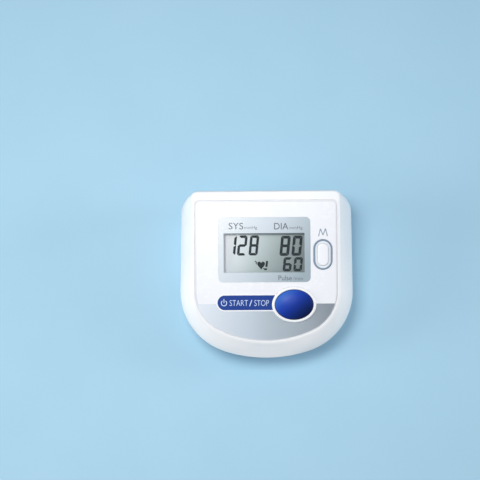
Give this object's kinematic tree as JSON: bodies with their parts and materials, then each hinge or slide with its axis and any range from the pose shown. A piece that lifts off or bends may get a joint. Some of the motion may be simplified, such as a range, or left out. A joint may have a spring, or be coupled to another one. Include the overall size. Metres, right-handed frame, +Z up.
{
  "type": "blood pressure monitor",
  "caption": "Upper-arm blood pressure monitor desk unit: wedge housing with sloping display face, oval start and stop button, memory button, air socket, power jack and battery door.",
  "frame": {"origin": "on the table under the middle of the unit", "axes": "+X to the user's right, +Y away from the user, +Z up"},
  "size_m": [0.124, 0.122, 0.0555],
  "materials": {
    "case_white": "satin white",
    "base_white": "fine texture",
    "panel_silver": "printed film",
    "window_clear": "clear plastic with a printed border",
    "ring_white": "glossy",
    "button_blue": "polished, domed",
    "surround_pale": "satin",
    "button_pale": "satin",
    "switch_black": "moulded",
    "lcd_glass": "display glass",
    "reflector": "foil",
    "holder_white": "moulded",
    "zebra_rubber": "striped connector",
    "board_green": "solder mask",
    "screw_steel": "plated",
    "chip_black": "moulded",
    "capacitor_can": "can",
    "cell_wrap": "plain wrap",
    "contact_plated": "nickel plated",
    "motor_can": "drawn can",
    "pump_plastic": "moulded",
    "cushion_rubber": "foam rubber",
    "coil_copper": "enamelled copper winding",
    "hose_silicone": "silicone",
    "socket_grey": "moulded",
    "jack_pin": "plated",
    "foot_rubber": "matt",
    "lead_red": "insulated wire"
  },
  "bodies": {
    "housing": {"upper_case": "case_white", "lower_case": "base_white", "face_panel": "panel_silver", "display_window": "window_clear", "start_ring": "ring_white", "memory_surround": "surround_pale", "tact_switches": "switch_black", "lcd_glass": "lcd_glass", "lcd_reflector": "reflector", "lcd_holder": "holder_white", "zebra_strips": "zebra_rubber", "main_board": "board_green", "board_screws": "screw_steel", "board_chips": "chip_black", "capacitors": "capacitor_can", "buzzer": "chip_black", "pressure_sensor": "chip_black", "battery_1": "cell_wrap", "battery_2": "cell_wrap", "battery_3": "cell_wrap", "battery_4": "cell_wrap", "battery_contacts": "contact_plated", "battery_springs": "contact_plated", "pump_motor": "motor_can", "pump_head": "pump_plastic", "pump_cushions": "cushion_rubber", "valve_yoke": "motor_can", "valve_coil": "coil_copper", "air_manifold": "pump_plastic", "pump_hose": "hose_silicone", "sensor_hose": "hose_silicone", "valve_hose": "hose_silicone", "socket_hose": "hose_silicone", "air_socket": "socket_grey", "dc_jack": "switch_black", "dc_jack_pin": "jack_pin", "case_screws": "screw_steel", "rubber_feet": "foot_rubber", "pump_leads": "lead_red", "valve_leads": "lead_red", "battery_leads": "lead_red", "jack_leads": "lead_red"},
    "start_key": {"start_button": "button_blue", "start_plunger": "switch_black"},
    "memory_key": {"memory_button": "button_pale", "memory_plunger": "switch_black"},
    "door": {"battery_door": "base_white"}
  },
  "joints": [
    {"name": "start_press", "type": "slide", "parent": "housing", "child": "start_key", "axis": [0, 0.2419, -0.9703], "range_m": [0, 0.0006], "stiffness_N_per_m": 1500, "springref_m": -0.0005},
    {"name": "memory_press", "type": "slide", "parent": "housing", "child": "memory_key", "axis": [0, 0.2419, -0.9703], "range_m": [0, 0.0006], "stiffness_N_per_m": 1500, "springref_m": -0.0005},
    {"name": "door_hinge", "type": "hinge", "parent": "housing", "child": "door", "pos_m": [0, 0.04725, 0.0023], "axis": [1, 0, 0], "range_deg": [0, 90]}
  ]
}
